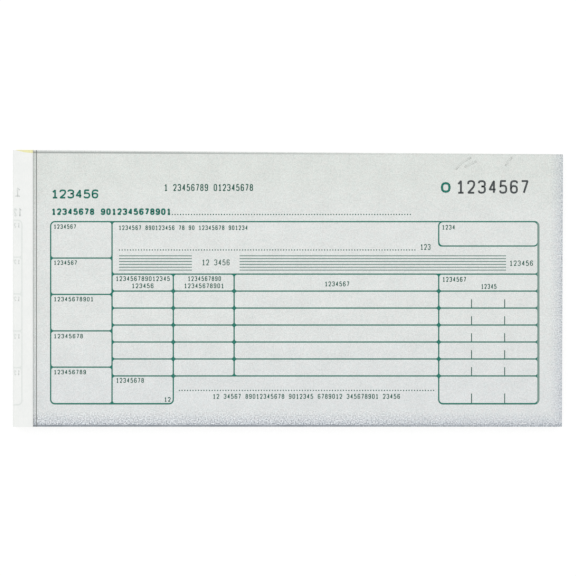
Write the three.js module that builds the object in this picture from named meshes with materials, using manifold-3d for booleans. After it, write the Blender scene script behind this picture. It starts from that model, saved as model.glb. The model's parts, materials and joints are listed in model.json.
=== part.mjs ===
// A stapled book of self-copying cash receipts, open at its first set.
// It lies face up: +X runs from the spine along the form, +Y up the form, +Z out of the page.
// The front cover and the first sheet are turned over at the crease, lie on the binding stub,
// go down round the spine and on under the book. Each is four nodes, one for each flat run.
import * as THREE from 'three';
import { mergeVertices } from 'three/addons/utils/BufferGeometryUtils.js';
import Module from 'manifold-3d';

// Leaf and book, in millimetres
const pageWidth = 104;
const leafLength = 198.5; // from the crease to the right edge
const stubWidth = 6.65; // bound part of every leaf, from the crease to the spine
const leafThickness = 0.07;
const coverThickness = 0.2;
const boardThickness = 0.9;
const leafGap = 0.02; // air between leaves that lie on each other
const perforationGap = 0.3; // from the crease to the moving leaf
const copiesPerSet = 3;
const setsInBook = 25;

// Binding
const tapeThickness = 0.15;
const tapeOverlap = 5.4; // how far the tape reaches over the stub, from the spine
const stapleWire = 0.45;
const stapleCrown = 12;
const stapleTip = 4; // length of a leg that is bent in under the board
const stapleSpacing = 52;
const stapleInset = 3.2; // from the spine to the wire's middle
const stapleClearance = 0.08;

// Cover and first sheet, turned over
const creaseRise = 0.8; // the crease's axis above the page
const spineRoom = 1.0; // between the tape and the cover's run down the spine
const foldInset = 0.4; // from the cover's inner face to the axis of each corner
const foldedDrop = 0.9; // between the board and the cover under it
const runGap = 0.12; // between two runs that meet at a corner

// Heights, from the face that the book rests on
const coverPanelBottom = leafThickness + leafGap;
const coverPanelTop = coverPanelBottom + coverThickness;
const boardBottom = coverPanelTop + foldedDrop;
const boardTop = boardBottom + boardThickness;
const setThickness = copiesPerSet * leafThickness;
const laterSets = setsInBook - 1;
const laterSetsBottom = boardTop + leafGap;
const laterSetsTop = laterSetsBottom + laterSets * (setThickness + leafGap) - leafGap;
const thirdCopyBottom = laterSetsTop + leafGap;
const secondCopyBottom = thirdCopyBottom + leafThickness + leafGap;
const pageTop = secondCopyBottom + leafThickness;
const firstSheetStubBottom = pageTop + leafGap;
const coverStubBottom = firstSheetStubBottom + leafThickness + leafGap;
const coverStubTop = coverStubBottom + coverThickness;
const creaseHeight = pageTop + creaseRise;

// Places along X, from the crease
const leafStart = perforationGap;
const spineEdge = -stubWidth;
const tapeOuter = spineEdge - leafGap - tapeThickness;
const coverSpineInner = tapeOuter - spineRoom;
const coverSpineOuter = coverSpineInner - coverThickness;
const firstSheetSpineInner = coverSpineOuter - leafGap;
const firstSheetSpineOuter = firstSheetSpineInner - leafThickness;
const cornerX = coverSpineInner + foldInset;
const stapleX = spineEdge + stapleInset;

// The turned-over strips lie as far above the crease's axis as their stubs lie below it.
const coverStripBottom = 2 * creaseHeight - coverStubTop;
const coverStripTop = 2 * creaseHeight - coverStubBottom;
const firstSheetStripBottom = coverStripTop + leafGap;
const topCornerHeight = coverStripBottom - foldInset;
const bottomCornerHeight = coverPanelTop + foldInset;

// Closed, the cover ends at the page's right edge, so what the wrap takes up is missing below.
const wrapLength = -cornerX + (topCornerHeight - bottomCornerHeight);
const panelEnd = cornerX + leafLength - wrapLength;

const colours = {
  page: 0xdee0dd,
  firstSheet: 0xf0f1ef,
  cover: 0xe9e6bf,
  board: 0xb4ac9c,
  tape: 0xe6e4da,
  staple: 0xb9bcc0,
};

const wasm = await Module();
wasm.setup();

const book = new THREE.Group();
// The origin is the middle of the resting face.
book.position.set(-(leafLength + firstSheetSpineOuter) / 2, 0, 0);

function addPiece(name, geometry, colour, roughness, metalness = 0) {
  const material = new THREE.MeshStandardMaterial({ color: colour, roughness, metalness });
  const mesh = new THREE.Mesh(geometry, material);
  mesh.name = name;
  book.add(mesh);
}

// A flat run across the book's whole width, as a box from x0 to x1 and from bottom to top.
function run(x0, x1, bottom, top) {
  const geometry = new THREE.BoxGeometry(x1 - x0, pageWidth, top - bottom);
  return geometry.translate((x0 + x1) / 2, 0, (bottom + top) / 2);
}

function toSolid(geometry) {
  const bare = geometry.clone();
  bare.deleteAttribute('normal');
  bare.deleteAttribute('uv');
  const merged = mergeVertices(bare);
  const vertProperties = merged.attributes.position.array;
  const triVerts = new Uint32Array(merged.index.array);
  return new wasm.Manifold(new wasm.Mesh({ numProp: 3, vertProperties, triVerts }));
}

function toGeometry(solid) {
  const mesh = solid.getMesh();
  const geometry = new THREE.BufferGeometry();
  geometry.setAttribute('position', new THREE.BufferAttribute(mesh.vertProperties, 3));
  geometry.setIndex(new THREE.BufferAttribute(mesh.triVerts, 1));
  return geometry.toNonIndexed();
}

// Heights of the binding, which the staples hold together
const tapeTop = coverStubTop + leafGap + tapeThickness;
const tapeBottom = boardBottom - leafGap - tapeThickness;
const stapleTop = tapeTop + leafGap + stapleWire;
const stapleBottom = tapeBottom - leafGap - stapleWire;

function stapleCentres() {
  return [-stapleSpacing / 2, stapleSpacing / 2];
}

function legCentres() {
  const half = (stapleCrown - stapleWire) / 2;
  return stapleCentres().flatMap((y) => [y - half, y + half]);
}

// Cuts the holes that the four staple legs pass through.
function punched(geometry) {
  const side = stapleWire + 2 * stapleClearance;
  const height = 2 * (stapleTop - stapleBottom);
  let solid = toSolid(geometry);
  for (const y of legCentres()) {
    const leg = new THREE.BoxGeometry(side, side, height);
    solid = solid.subtract(toSolid(leg.translate(stapleX, y, stapleBottom + height / 2)));
  }
  return toGeometry(solid);
}

// A closed outline in the YZ or XZ plane, drawn as [along, height] points.
function outline(points) {
  return new THREE.Shape(points.map(([along, height]) => new THREE.Vector2(along, height)));
}

// One staple: crown on the tape, two legs down through the stub, tips bent in under the board.
function stapleGeometry(y) {
  const outer = stapleCrown / 2;
  const inner = outer - stapleWire;
  const tip = outer - stapleTip;
  const shape = outline([
    [-outer, stapleBottom],
    [-tip, stapleBottom],
    [-tip, stapleBottom + stapleWire],
    [-inner, stapleBottom + stapleWire],
    [-inner, stapleTop - stapleWire],
    [inner, stapleTop - stapleWire],
    [inner, stapleBottom + stapleWire],
    [tip, stapleBottom + stapleWire],
    [tip, stapleBottom],
    [outer, stapleBottom],
    [outer, stapleTop],
    [-outer, stapleTop],
  ]);
  const geometry = new THREE.ExtrudeGeometry(shape, { depth: stapleWire, bevelEnabled: false });
  const alongY = new THREE.Vector3(0, 1, 0);
  const upZ = new THREE.Vector3(0, 0, 1);
  const acrossX = new THREE.Vector3(1, 0, 0);
  geometry.applyMatrix4(new THREE.Matrix4().makeBasis(alongY, upZ, acrossX));
  return geometry.translate(stapleX - stapleWire / 2, y, 0);
}

// The tape is a channel: over the stub, down the spine and under the board.
function tapeGeometry() {
  const flangeEnd = tapeOuter + tapeOverlap;
  const innerX = tapeOuter + tapeThickness;
  const shape = outline([
    [tapeOuter, -tapeTop],
    [flangeEnd, -tapeTop],
    [flangeEnd, -(tapeTop - tapeThickness)],
    [innerX, -(tapeTop - tapeThickness)],
    [innerX, -(tapeBottom + tapeThickness)],
    [flangeEnd, -(tapeBottom + tapeThickness)],
    [flangeEnd, -tapeBottom],
    [tapeOuter, -tapeBottom],
  ]);
  const geometry = new THREE.ExtrudeGeometry(shape, { depth: pageWidth, bevelEnabled: false });
  const alongX = new THREE.Vector3(1, 0, 0);
  const downZ = new THREE.Vector3(0, 0, -1);
  const alongY = new THREE.Vector3(0, 1, 0);
  geometry.applyMatrix4(new THREE.Matrix4().makeBasis(alongX, downZ, alongY));
  return geometry.translate(0, -pageWidth / 2, 0);
}

function stub(bottom, thickness) {
  return punched(run(spineEdge, 0, bottom, bottom + thickness));
}

function leaf(bottom, thickness) {
  return run(leafStart, leafLength, bottom, bottom + thickness);
}

// A strip lies on the stub, from the top corner to the crease.
function strip(bottom, thickness) {
  return run(cornerX + runGap, -perforationGap, bottom, bottom + thickness);
}

// A spine run goes down past the tape, between the two corners.
function spine(innerX, thickness) {
  return run(innerX - thickness, innerX, bottomCornerHeight + runGap, topCornerHeight - runGap);
}

// A panel lies under the board.
function panel(bottom, thickness) {
  return run(cornerX + runGap, panelEnd, bottom, bottom + thickness);
}

// Board, tape and staples
addPiece('back_board', punched(run(spineEdge, leafLength, boardBottom, boardTop)), colours.board, 0.9);
addPiece('binding_tape', punched(tapeGeometry()), colours.tape, 0.7);
stapleCentres().forEach((y, index) => {
  addPiece(`staple_${index + 1}`, stapleGeometry(y), colours.staple, 0.35, 1);
});

// Front cover
addPiece('cover_stub', stub(coverStubBottom, coverThickness), colours.cover, 0.75);
addPiece('cover_strip', strip(coverStripBottom, coverThickness), colours.cover, 0.75);
addPiece('cover_spine', spine(coverSpineInner, coverThickness), colours.cover, 0.75);
addPiece('cover_panel', panel(coverPanelBottom, coverThickness), colours.cover, 0.75);

// First sheet, the top copy of the first set
addPiece('first_sheet_stub', stub(firstSheetStubBottom, leafThickness), colours.firstSheet, 0.85);
addPiece('first_sheet_strip', strip(firstSheetStripBottom, leafThickness), colours.firstSheet, 0.85);
addPiece('first_sheet_spine', spine(firstSheetSpineInner, leafThickness), colours.firstSheet, 0.85);
addPiece('first_sheet_panel', panel(0, leafThickness), colours.firstSheet, 0.85);

// The other two copies of the first set
addPiece('second_copy_stub', stub(secondCopyBottom, leafThickness), colours.page, 0.85);
addPiece('second_copy', leaf(secondCopyBottom, leafThickness), colours.page, 0.85);
addPiece('third_copy_stub', stub(thirdCopyBottom, leafThickness), colours.page, 0.85);
addPiece('third_copy', leaf(thirdCopyBottom, leafThickness), colours.page, 0.85);

// Sets 2 to 25, unused, each three leaves that lie pressed together
addPiece('later_sets_stub', stub(laterSetsBottom, laterSetsTop - laterSetsBottom), colours.page, 0.85);
for (let number = 2; number <= setsInBook; number += 1) {
  const bottom = laterSetsTop - (number - 1) * (setThickness + leafGap) + leafGap;
  addPiece(`set_${String(number).padStart(2, '0')}`, leaf(bottom, setThickness), colours.page, 0.85);
}

export default book;
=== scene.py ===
"""A cash receipt book, open at its first set: paper, print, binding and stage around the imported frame."""
import json
import math
import random

import bmesh
import bpy
from mathutils import Matrix, Vector


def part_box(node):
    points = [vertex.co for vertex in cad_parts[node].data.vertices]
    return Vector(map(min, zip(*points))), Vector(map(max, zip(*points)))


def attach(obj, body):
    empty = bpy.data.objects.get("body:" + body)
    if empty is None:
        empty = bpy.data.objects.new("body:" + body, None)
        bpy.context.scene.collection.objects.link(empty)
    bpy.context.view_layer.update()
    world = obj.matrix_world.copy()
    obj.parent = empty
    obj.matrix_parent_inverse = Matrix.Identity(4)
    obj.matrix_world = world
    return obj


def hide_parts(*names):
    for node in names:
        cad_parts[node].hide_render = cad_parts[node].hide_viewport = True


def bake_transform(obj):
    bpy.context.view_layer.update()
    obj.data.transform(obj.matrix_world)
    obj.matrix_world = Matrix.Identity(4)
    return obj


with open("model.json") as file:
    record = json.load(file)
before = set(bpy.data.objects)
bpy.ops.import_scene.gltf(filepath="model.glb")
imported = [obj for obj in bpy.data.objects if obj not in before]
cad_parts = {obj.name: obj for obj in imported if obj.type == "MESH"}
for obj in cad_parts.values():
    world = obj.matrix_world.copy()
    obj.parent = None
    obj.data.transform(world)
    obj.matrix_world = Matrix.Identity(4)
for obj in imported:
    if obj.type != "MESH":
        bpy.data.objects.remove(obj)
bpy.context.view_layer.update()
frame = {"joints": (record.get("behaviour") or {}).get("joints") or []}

bl_info = {
    "name": "Cash receipt book",
    "version": (1, 0, 0),
    "blender": (4, 5, 0),
    "location": "View3D > Sidebar > Receipt book",
    "description": "Dresses the CAD frame of a stapled book of self-copying receipts",
    "category": "Object",
}

MM = 0.001
UV_SPAN = 0.25  # metres of paper that one unit of a sheet's UV map stands for
SETS = [f"set_{number:02d}" for number in range(2, 26)]
LEAVES_IN_SET = 3


def hinge_place(name):
    return Vector(next(joint["pos_m"] for joint in frame["joints"] if joint["name"] == name))


def middle_height(node):
    low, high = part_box(node)
    return (low.z + high.z) / 2


CREASE = hinge_place("cover_crease")
TOP_CORNER = hinge_place("cover_top_corner")
BOTTOM_CORNER = hinge_place("cover_bottom_corner")
RIGHT_EDGE, TOP_EDGE, PAGE_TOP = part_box("second_copy")[1]
BOTTOM_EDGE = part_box("second_copy")[0].y
SPINE_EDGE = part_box("second_copy_stub")[0].x
STUB = CREASE.x - SPINE_EDGE
LEAF_LENGTH = RIGHT_EDGE - SPINE_EDGE


def linear(code):
    """An sRGB hex value as linear red, green and blue, with full alpha."""
    parts = [int(code[i:i + 2], 16) / 255 for i in (1, 3, 5)]
    return tuple(p / 12.92 if p <= 0.04045 else ((p + 0.055) / 1.055) ** 2.4 for p in parts) + (1.0,)


def length(name, description, millimetres):
    return bpy.props.FloatProperty(name=name, description=description, default=millimetres * MM, min=0.0,
                                   unit="LENGTH", precision=5)


def colour(name, description, code):
    return bpy.props.FloatVectorProperty(name=name, description=description, default=linear(code),
                                         subtype="COLOR", size=4, min=0.0, max=1.0)


class ReceiptBookSizes(bpy.types.PropertyGroup):
    leaf_thickness: length("Leaf thickness", "Thickness of one self-copying leaf", 0.07)
    cover_thickness: length("Cover thickness", "Thickness of the cover card", 0.2)
    tape_thickness: length("Tape thickness", "Thickness of the binding tape", 0.15)
    wire: length("Staple wire", "Diameter of the staple wire", 0.45)
    out_of_square: length("Out of square", "How far the top edge falls towards the free end", 1.65)
    lean: length("Lean of the free end", "How far the free end draws in towards the foot", 0.4)
    page_short: length("Page short at top", "How far the page ends below the leaves under it", 0.75)
    score: length("Score", "From the crease to the line that the page is perforated on", 0.7)
    line: length("Frame line", "Width of the form's frame lines", 0.5)
    thin_line: length("Thin line", "Width of the ticks", 0.36)
    rule: length("Rule", "Width of the security rules", 0.3)
    cell_radius: length("Cell radius", "Radius where the form's lines cross", 0.85)
    outer_radius: length("Outer radius", "Radius of the form's outer corners", 1.3)
    dot: length("Dot", "Diameter of the dots of a dotted line", 0.53)
    dot_pitch: length("Dot pitch", "From one dot to the next", 1.0274)
    ink: length("Ink", "How far the ink stands on the paper", 0.008)


class ReceiptBookColours(bpy.types.PropertyGroup):
    page: colour("Copy paper", "Self-copying paper, slightly green grey", "#DDE0DE")
    # The tints at the page's top and foot are painted shade over the paper's own tint
    page_top_shade: colour("Copy paper at the top", "The same paper where it has been handled", "#D9DDD9")
    page_foot_shade: colour("Copy paper at the foot", "The same paper where it is cooler", "#DBDEDE")
    # Next two: the colour of the speckle at the cut edges and of the painted shade line along the foot, then
    # the colour of the painted shade over the foot and free end
    edge_speckle_and_shade: colour("Burst capsules", "Copying colour that the cut sets free along an edge", "#848A91")
    edge_shade: colour("Haze", "The same colour where it is thinly spread", "#99A2B6")
    top_copy: colour("Top copy", "White top copy", "#F1F2F0")
    cover: colour("Cover", "Pale yellow cover card", "#ECE8AE")
    board: colour("Board", "Grey board at the back", "#AFA89B")
    tape: colour("Tape", "Binding tape", "#E4E1D6")
    wire: colour("Wire", "Galvanised staple wire", "#B9BCC0")
    frame_ink: colour("Frame ink", "Dark green of the form's frame", "#1C7263")
    title_ink: colour("Title ink", "Green of the titles", "#106E5F")
    fine_ink: colour("Fine ink", "Grey green of the thin rules", "#3E6E63")
    number_ink: colour("Number ink", "Grey of the numbering machine", "#44494B")
    mark: colour("Mark", "Faint pencil marks on the page", "#D5D9D5")
    ghost: colour("Show-through", "Print seen through the first sheet from its other side", "#DFE3E0")


def sizes():
    return bpy.context.scene.receipt_book_sizes


def colours():
    return bpy.context.scene.receipt_book_colours


class Recipe:
    """The emptied node tree of a material or world, with the patterns that its nodes make up."""

    def __init__(self, owner):
        owner.use_nodes = True
        self.owner = owner
        self.tree = owner.node_tree
        self.tree.nodes.clear()

    def add(self, kind, inputs=(), **settings):
        """Adds one node and gives its outputs. Inputs are values or other nodes' outputs, in the order of the
        node's sockets, or under their names or numbers."""
        made = self.tree.nodes.new(f"ShaderNode{kind}")
        for name, value in settings.items():
            setattr(made, name, value)
        for key, value in inputs.items() if isinstance(inputs, dict) else enumerate(inputs):
            if isinstance(value, bpy.types.NodeSocket):
                self.tree.links.new(value, made.inputs[key])
            else:
                made.inputs[key].default_value = value
        return made.outputs

    def surface(self, base, roughness, specular=0.3, metallic=0.0, relief=None, depth=0.0):
        """Ends a material with one shader, its constants on its own sockets, and a relief in millimetres."""
        values = {"Base Color": base, "Roughness": roughness, "Specular IOR Level": specular,
                  "Metallic": metallic}
        if relief is not None:
            bump = {"Height": relief, "Distance": depth * MM, "Strength": 1.0}
            values["Normal"] = self.add("Bump", bump)[0]
        self.add("OutputMaterial", [self.add("BsdfPrincipled", values)[0]])
        return self.owner

    def joined(self, operation, value, *others):
        """Values joined one after the other by one operation."""
        for other in others:
            value = self.add("Math", [value, other], operation=operation)[0]
        return value

    def ramped(self, *ramps):
        """Ramps multiplied together. Each is a value, its two limits, and the shares that it gives there."""
        return self.joined("MULTIPLY", *[self.add("MapRange", ramp)[0] for ramp in ramps])

    def painted(self, base, *coats, blend_type="MIX"):
        """Coats laid over a base one after the other, each a share and a colour. The numbers are the colour
        sockets of Blender's Mix node."""
        for share, coat in coats:
            base = self.add("Mix", {0: share, 6: base, 7: coat}, data_type="RGBA", blend_type=blend_type)[2]
        return base

    def on_paper(self, layer="Sheet"):
        """Places on the sheet in millimetres, from its UV map."""
        places = self.add("UVMap", uv_map=layer)[0]
        return self.add("Mapping", {"Vector": places, "Scale": (UV_SPAN / MM,) * 3})[0]

    def on_object(self):
        """Places on a piece that doesn't bend, in millimetres."""
        places = self.add("TexCoord")["Object"]
        return self.add("Mapping", {"Vector": places, "Scale": (1 / MM,) * 3})[0]

    def grain(self, place, size, detail=2.0, stretch=None):
        """Noise whose features are about size millimetres across, and longer where they are stretched."""
        if stretch:
            place = self.add("Mapping", {"Vector": place, "Scale": stretch})[0]
        return self.add("TexNoise", {"Vector": place, "Scale": 1 / size, "Detail": detail})[0]

    def mottle(self, place, size, detail, amount):
        """Grain as a share that goes up and down about zero."""
        return self.ramped([self.grain(place, size, detail), 0.2, 0.8, -amount, amount])

    def line_at(self, value, place, core, edge, share):
        """A thin line where a value passes a place, in millimetres: full to its core, gone at its edge."""
        away = self.add("Math", [self.joined("SUBTRACT", value, place)], operation="ABSOLUTE")[0]
        return self.ramped([away, core, edge, share, 0])

    def layered(self, place, tint, *layers):
        """Clouds and fibres over a tint. Each layer has the size, detail and stretch of its grain, where it
        starts to show and shows in full, its share there, and its colour."""
        return self.painted(tuple(tint), *[
            (self.ramped([self.grain(place, size, detail, stretch), low, high, 0, share]), linear(code))
            for size, detail, stretch, low, high, share, code in layers])

    def seen_plainly(self):
        """One for rays that show a thing itself, and zero for those that light others."""
        rays = self.add("LightPath")
        kinds = ("Glossy", "Transmission", "Camera")
        return self.joined("MAXIMUM", *[rays[f"Is {kind} Ray"] for kind in kinds])


def new_recipe(name):
    return Recipe(bpy.data.materials.new(name))


def copy_paper(name, tints, edge_speckle_and_shade, top_shade, band):
    """Self-copying paper, calendered and coated: dull, faintly mottled, with fibres too fine to feel.
    The guillotine bursts the copying capsules, so foot and free end are speckled blue grey; painted shade
    darkens them as well, and a line of painted shade lies along the cut at the foot. Tints are the sheet's
    own, and those at its top and foot, which are painted shade. Band says where the line of painted shade
    along the top starts, is darkest, eases and ends. All places are in millimetres."""
    tint, top, foot = (tuple(value) for value in tints)
    r = new_recipe(name)
    place = r.on_paper()
    along, edge = (r.add("SeparateXYZ", [where]) for where in (place, r.on_paper("Edge")))
    from_spine, from_foot, from_end, from_top = along["X"], along["Y"], edge["X"], edge["Y"]

    def by_the_cut(start, foot_reach, foot_share, end_reach, end_share, *eased):
        """How strongly the cut at the foot and at the free end shows at a place."""
        return r.joined("MAXIMUM", r.ramped([from_foot, start, foot_reach, foot_share, 0], *eased),
                        r.ramped([from_end, 0, end_reach, end_share, 0]))

    # Painted shade: the tint goes a little darker towards the top and cooler towards the foot
    up, down = (r.add("MapRange", limits, interpolation_type="SMOOTHSTEP")[0]
                for limits in ([from_foot, 8, 45], [from_top, 6, 30]))
    base = r.painted(top, (down, r.painted(foot, (up, tint))))
    # Cloudy formation of the sheet, flecks, and dust as fine as shows, with a trace of pink and green in it
    grains = ((7.0, 3.0, 0.045), (1.1, 2.0, 0.055), (0.42, 1.0, 0.13))
    shade = r.joined("ADD", *[r.mottle(place, *values) for values in grains])
    moved = r.add("VectorMath", [place, (31.0, 17.0, 0.0)], operation="ADD")[0]
    tinge = r.mottle(moved, 1.6, 2.0, 0.03)
    grey = r.joined("ADD", shade, 1.0)
    red = r.joined("ADD", shade, tinge, 1.0)
    shaded = r.add("CombineColor", [red, grey, grey])[0]
    # The print of the leaves below comes through in specks where the cut has pressed them together
    rough = by_the_cut(0, 6.9, 0.95, 6.5, 0.34, [from_spine, 130, 165, 1.0, 0.6])
    specks = r.joined("MULTIPLY", r.mottle(place, 0.5, 1.0, 1.0), rough)
    specks = r.add("Math", [specks, edge_speckle_and_shade, 1.0], operation="MULTIPLY_ADD")[0]
    base = r.painted(base, (1.0, shaded), (1.0, specks), blend_type="MULTIPLY")
    # Painted shade over the last five millimetres, speckle over the last two or three, and a dark line of
    # painted shade at the cut
    patchy = r.ramped([r.grain(place, 0.8, 3.0), 0.3, 0.7, 0.5, 1.5])
    edge_shade = r.joined("MULTIPLY", by_the_cut(0, 5.6, 0.39, 4.8, 0.33), patchy, edge_speckle_and_shade)
    dust = r.joined("SUBTRACT", r.grain(place, 0.5, 3.0), 0.30)
    near = r.joined("MULTIPLY", by_the_cut(0.2, 3.2, 0.6, 2.4, 0.4), 0.62)
    speckle = r.ramped([r.joined("SUBTRACT", near, dust), 0.0, 0.3, 0, 0.8])
    # Painted shade: a dark line along the cut edge at the foot, fading towards the free end
    cut = r.ramped([from_foot, 0.0, 0.3, 0.75, 1.0], [from_foot, 0.66, 0.86, 1, 0],
                   [from_spine, 110, 190, 1.0, 0.35], [r.grain(place, 9.0), 0.35, 0.6, 0.75, 1.0])
    dark = r.joined("MULTIPLY", r.joined("MAXIMUM", speckle, cut), edge_speckle_and_shade)
    # Painted shade along the top edge: a grey line that fades towards the free end
    starts, darkest, eases, ends = band
    line = r.ramped([from_top, starts, darkest], [from_top, eases, ends, 1, 0],
                    [from_spine, 50, 150, top_shade, top_shade * 0.12])
    # The score that the page is torn off along, painted as a dark line: painted shade in the perforated
    # crease beside the fold
    score = r.line_at(from_spine, (STUB + sizes().score) / MM, 0.11, 0.22, 0.95)
    base = r.painted(base, (edge_shade, tuple(colours().edge_shade)), (dark, tuple(colours().edge_speckle_and_shade)),
                     (line, linear("#8B908E")), (score, linear("#747876")))
    return r.surface(base, 0.82, relief=r.grain(place, 0.5, 4.0), depth=0.012)


def top_paper():
    """White wood-free paper of the top copy: matt, its fibres just visible, with painted shade along its
    fold.
    """
    r = new_recipe("wood_free_white_paper")
    place = r.on_paper()
    base = r.layered(place, colours().top_copy, (5.0, 3.0, None, 0.3, 0.7, 1, "#ECEEEC"),
                     (0.35, 3.0, (1.0, 0.3, 1.0), 0.35, 0.75, 0.35, "#E2E5E3"))
    # Painted shade: a grey line along the fold, where the sheet turns away from the light
    fold = r.line_at(r.add("SeparateXYZ", [place])["X"], STUB / MM, 0.05, 0.4, 1.0)
    base = r.painted(base, (fold, linear("#9A9D9C")))
    return r.surface(base, 0.8, relief=r.grain(place, 0.4, 4.0), depth=0.012)


def cover_card():
    """Tinted card of the cover, machine-glazed: pale yellow, with longer fibres and a slight sheen."""
    r = new_recipe("tinted_cover_card")
    place = r.on_paper()
    base = r.layered(place, colours().cover, (4.0, 3.0, None, 0.3, 0.7, 1, "#E4E0B6"),
                     (0.5, 4.0, (1.0, 0.25, 1.0), 0.5, 0.75, 0.4, "#D8D3A6"))
    return r.surface(base, 0.62, 0.4, relief=r.grain(place, 0.6, 4.0), depth=0.02)


def grey_board():
    """Grey board pressed from waste paper: dull, flecked with darker and lighter fibres."""
    r = new_recipe("pressed_grey_board")
    place = r.on_object()
    base = r.layered(place, colours().board, (6.0, 3.0, None, 0.3, 0.7, 1, "#A39C8F"),
                     (0.7, 3.0, (1.0, 0.4, 1.0), 0.58, 0.72, 0.5, "#857E74"),
                     (1.1, 3.0, (0.5, 1.0, 1.0), 0.6, 0.74, 0.5, "#C6C0B4"))
    return r.surface(base, 0.9, 0.25, relief=r.grain(place, 0.45, 5.0), depth=0.05)


def gummed_tape():
    """Gummed kraft tape, bleached: smooth with fine ribs across, slightly glossy."""
    r = new_recipe("gummed_paper_tape")
    place = r.on_paper()
    ribs = r.add("TexWave", {"Vector": place, "Scale": 1.4, "Distortion": 1.5, "Detail": 2.0},
                 wave_type="BANDS", bands_direction="Y")["Fac"]
    base = r.layered(place, colours().tape, (3.0, 3.0, None, 0.3, 0.7, 1, "#DAD6C9"))
    return r.surface(base, 0.5, 0.45, relief=ribs, depth=0.01)


def staple_wire():
    """Galvanised steel wire, drawn: fine lines along it and a dull zinc bloom."""
    r = new_recipe("drawn_galvanised_wire")
    place = r.on_object()
    base = r.layered(place, colours().wire, (0.5, 4.0, None, 0.35, 0.7, 1, "#8E9296"))
    return r.surface(base, 0.34, 0.5, 1.0, relief=r.grain(place, 0.12, 3.0), depth=0.01)


def ink(name, tint, thin, patch, starved=0.35, worn=None):
    """Offset ink soaked into the paper: matt, a little uneven where the paper took less.
    Worn is a place in millimetres, and the colour of the thinner ink on the right of it."""
    r = new_recipe(name)
    place = r.on_object()
    gaps = r.ramped([r.grain(place, patch, 3.0), 0.42, 0.72, 0, starved])
    base = r.painted(tuple(tint), (gaps, linear(thin)))
    if worn:
        start, code = worn
        thinned = r.ramped([r.add("SeparateXYZ", [place])["X"], start, start + 0.08])
        base = r.painted(base, (thinned, linear(code)))
    return r.surface(base, 0.75)


def finish_piece(name, bm, *materials):
    """Puts a finished mesh in the scene, unturned at the origin."""
    mesh = bpy.data.meshes.new(name)
    bm.to_mesh(mesh)
    bm.free()
    for material in materials:
        mesh.materials.append(material)
    piece = bpy.data.objects.new(name, mesh)
    bpy.context.scene.collection.objects.link(piece)
    return piece


def pulled(bm, edges):
    """Extrudes a row of edges where they are, and gives the new edges, their corners and the new faces."""
    made = bmesh.ops.extrude_edge_only(bm, edges=edges)["geom"]
    corners = [part for part in made if isinstance(part, bmesh.types.BMVert)]
    ahead = set(corners)
    edges = [part for part in made if isinstance(part, bmesh.types.BMEdge) and set(part.verts) <= ahead]
    return edges, corners, [part for part in made if isinstance(part, bmesh.types.BMFace)]


def top_of(profile, run):
    """Height along Y of a sheet's top edge, where profile gives it at a few places along the sheet."""
    for (a, ya), (b, yb) in zip(profile, profile[1:]):
        if run <= b:
            return ya + (yb - ya) * max(0.0, run - a) / (b - a)
    return profile[-1][1]


def add_sheet(bm, start, moves, profile, foot=BOTTOM_EDGE, run=0.0, end_run=None, index=0, lean=0.0):
    """Draws one sheet of paper: its starting edge runs along Y, and each move carries it on.
    A move is ("flat", x, z, steps) or ("turn", x, z, degrees, steps), counter-clockwise seen with X to the
    right and Z up. Run is the length of paper before the start, and the length up to its end is returned."""
    run_layer = bm.verts.layers.float.get("run") or bm.verts.layers.float.new("run")
    maps = bm.loops.layers.uv
    sheet_uv, edge_uv = (maps.get(name) or maps.new(name) for name in ("Sheet", "Edge"))
    x, z = start
    verts, faces = [bm.verts.new((x, y, z)) for y in (foot, TOP_EDGE)], []
    for v in verts:
        v[run_layer] = run
    edges = [bm.edges.new(verts)]
    for kind, *values, steps in moves:
        for _ in range(steps):
            edges, new, sides = pulled(bm, edges)
            if kind == "flat":
                step = Vector((values[0] - x, 0, values[1] - z)) / steps
                bmesh.ops.translate(bm, vec=step, verts=new)
                run += step.length
            else:
                angle = math.radians(values[2]) / steps
                bmesh.ops.rotate(bm, cent=(values[0], 0, values[1]), matrix=Matrix.Rotation(-angle, 3, "Y"),
                                 verts=new)
                run += abs(angle) * math.hypot(x - values[0], z - values[1])
            for v in new:
                v[run_layer] = run
            verts += new
            faces += sides
        x, _, z = new[0].co
    end_run = run if end_run is None else end_run
    min(new, key=lambda v: v.co.y).co.x -= lean
    for v in verts:
        if v.co.y > 0:
            v.co.y = top_of(profile, v[run_layer])
    for face in faces:
        face.material_index = index
        for loop in face.loops:
            y, here = loop.vert.co.y, loop.vert[run_layer]
            below_top = 0.0 if y > 0 else top_of(profile, here) - y
            loop[sheet_uv].uv = (here / UV_SPAN, (y - BOTTOM_EDGE) / UV_SPAN)
            loop[edge_uv].uv = ((end_run - here) / UV_SPAN, below_top / UV_SPAN)
    return run


def thicken(piece, thickness):
    """Gives a sheet its thickness, half to each side."""
    solid = piece.modifiers.new("Thickness", "SOLIDIFY")
    solid.thickness = thickness
    solid.offset = 0.0
    return piece


def square_profile(short=0.0, fall=0.0):
    """A leaf's top edge: it falls towards the free end, because the book was cut out of square."""
    return [(0.0, TOP_EDGE - short), (LEAF_LENGTH, TOP_EDGE - sizes().out_of_square - short + fall)]


FOLD_RADIUS = CREASE.z - middle_height("first_sheet_stub")
# The fold rolls along as the sheet turns, so it stands half its length short of the crease's axis.
FOLD_SETBACK = math.pi * FOLD_RADIUS / 2


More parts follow.
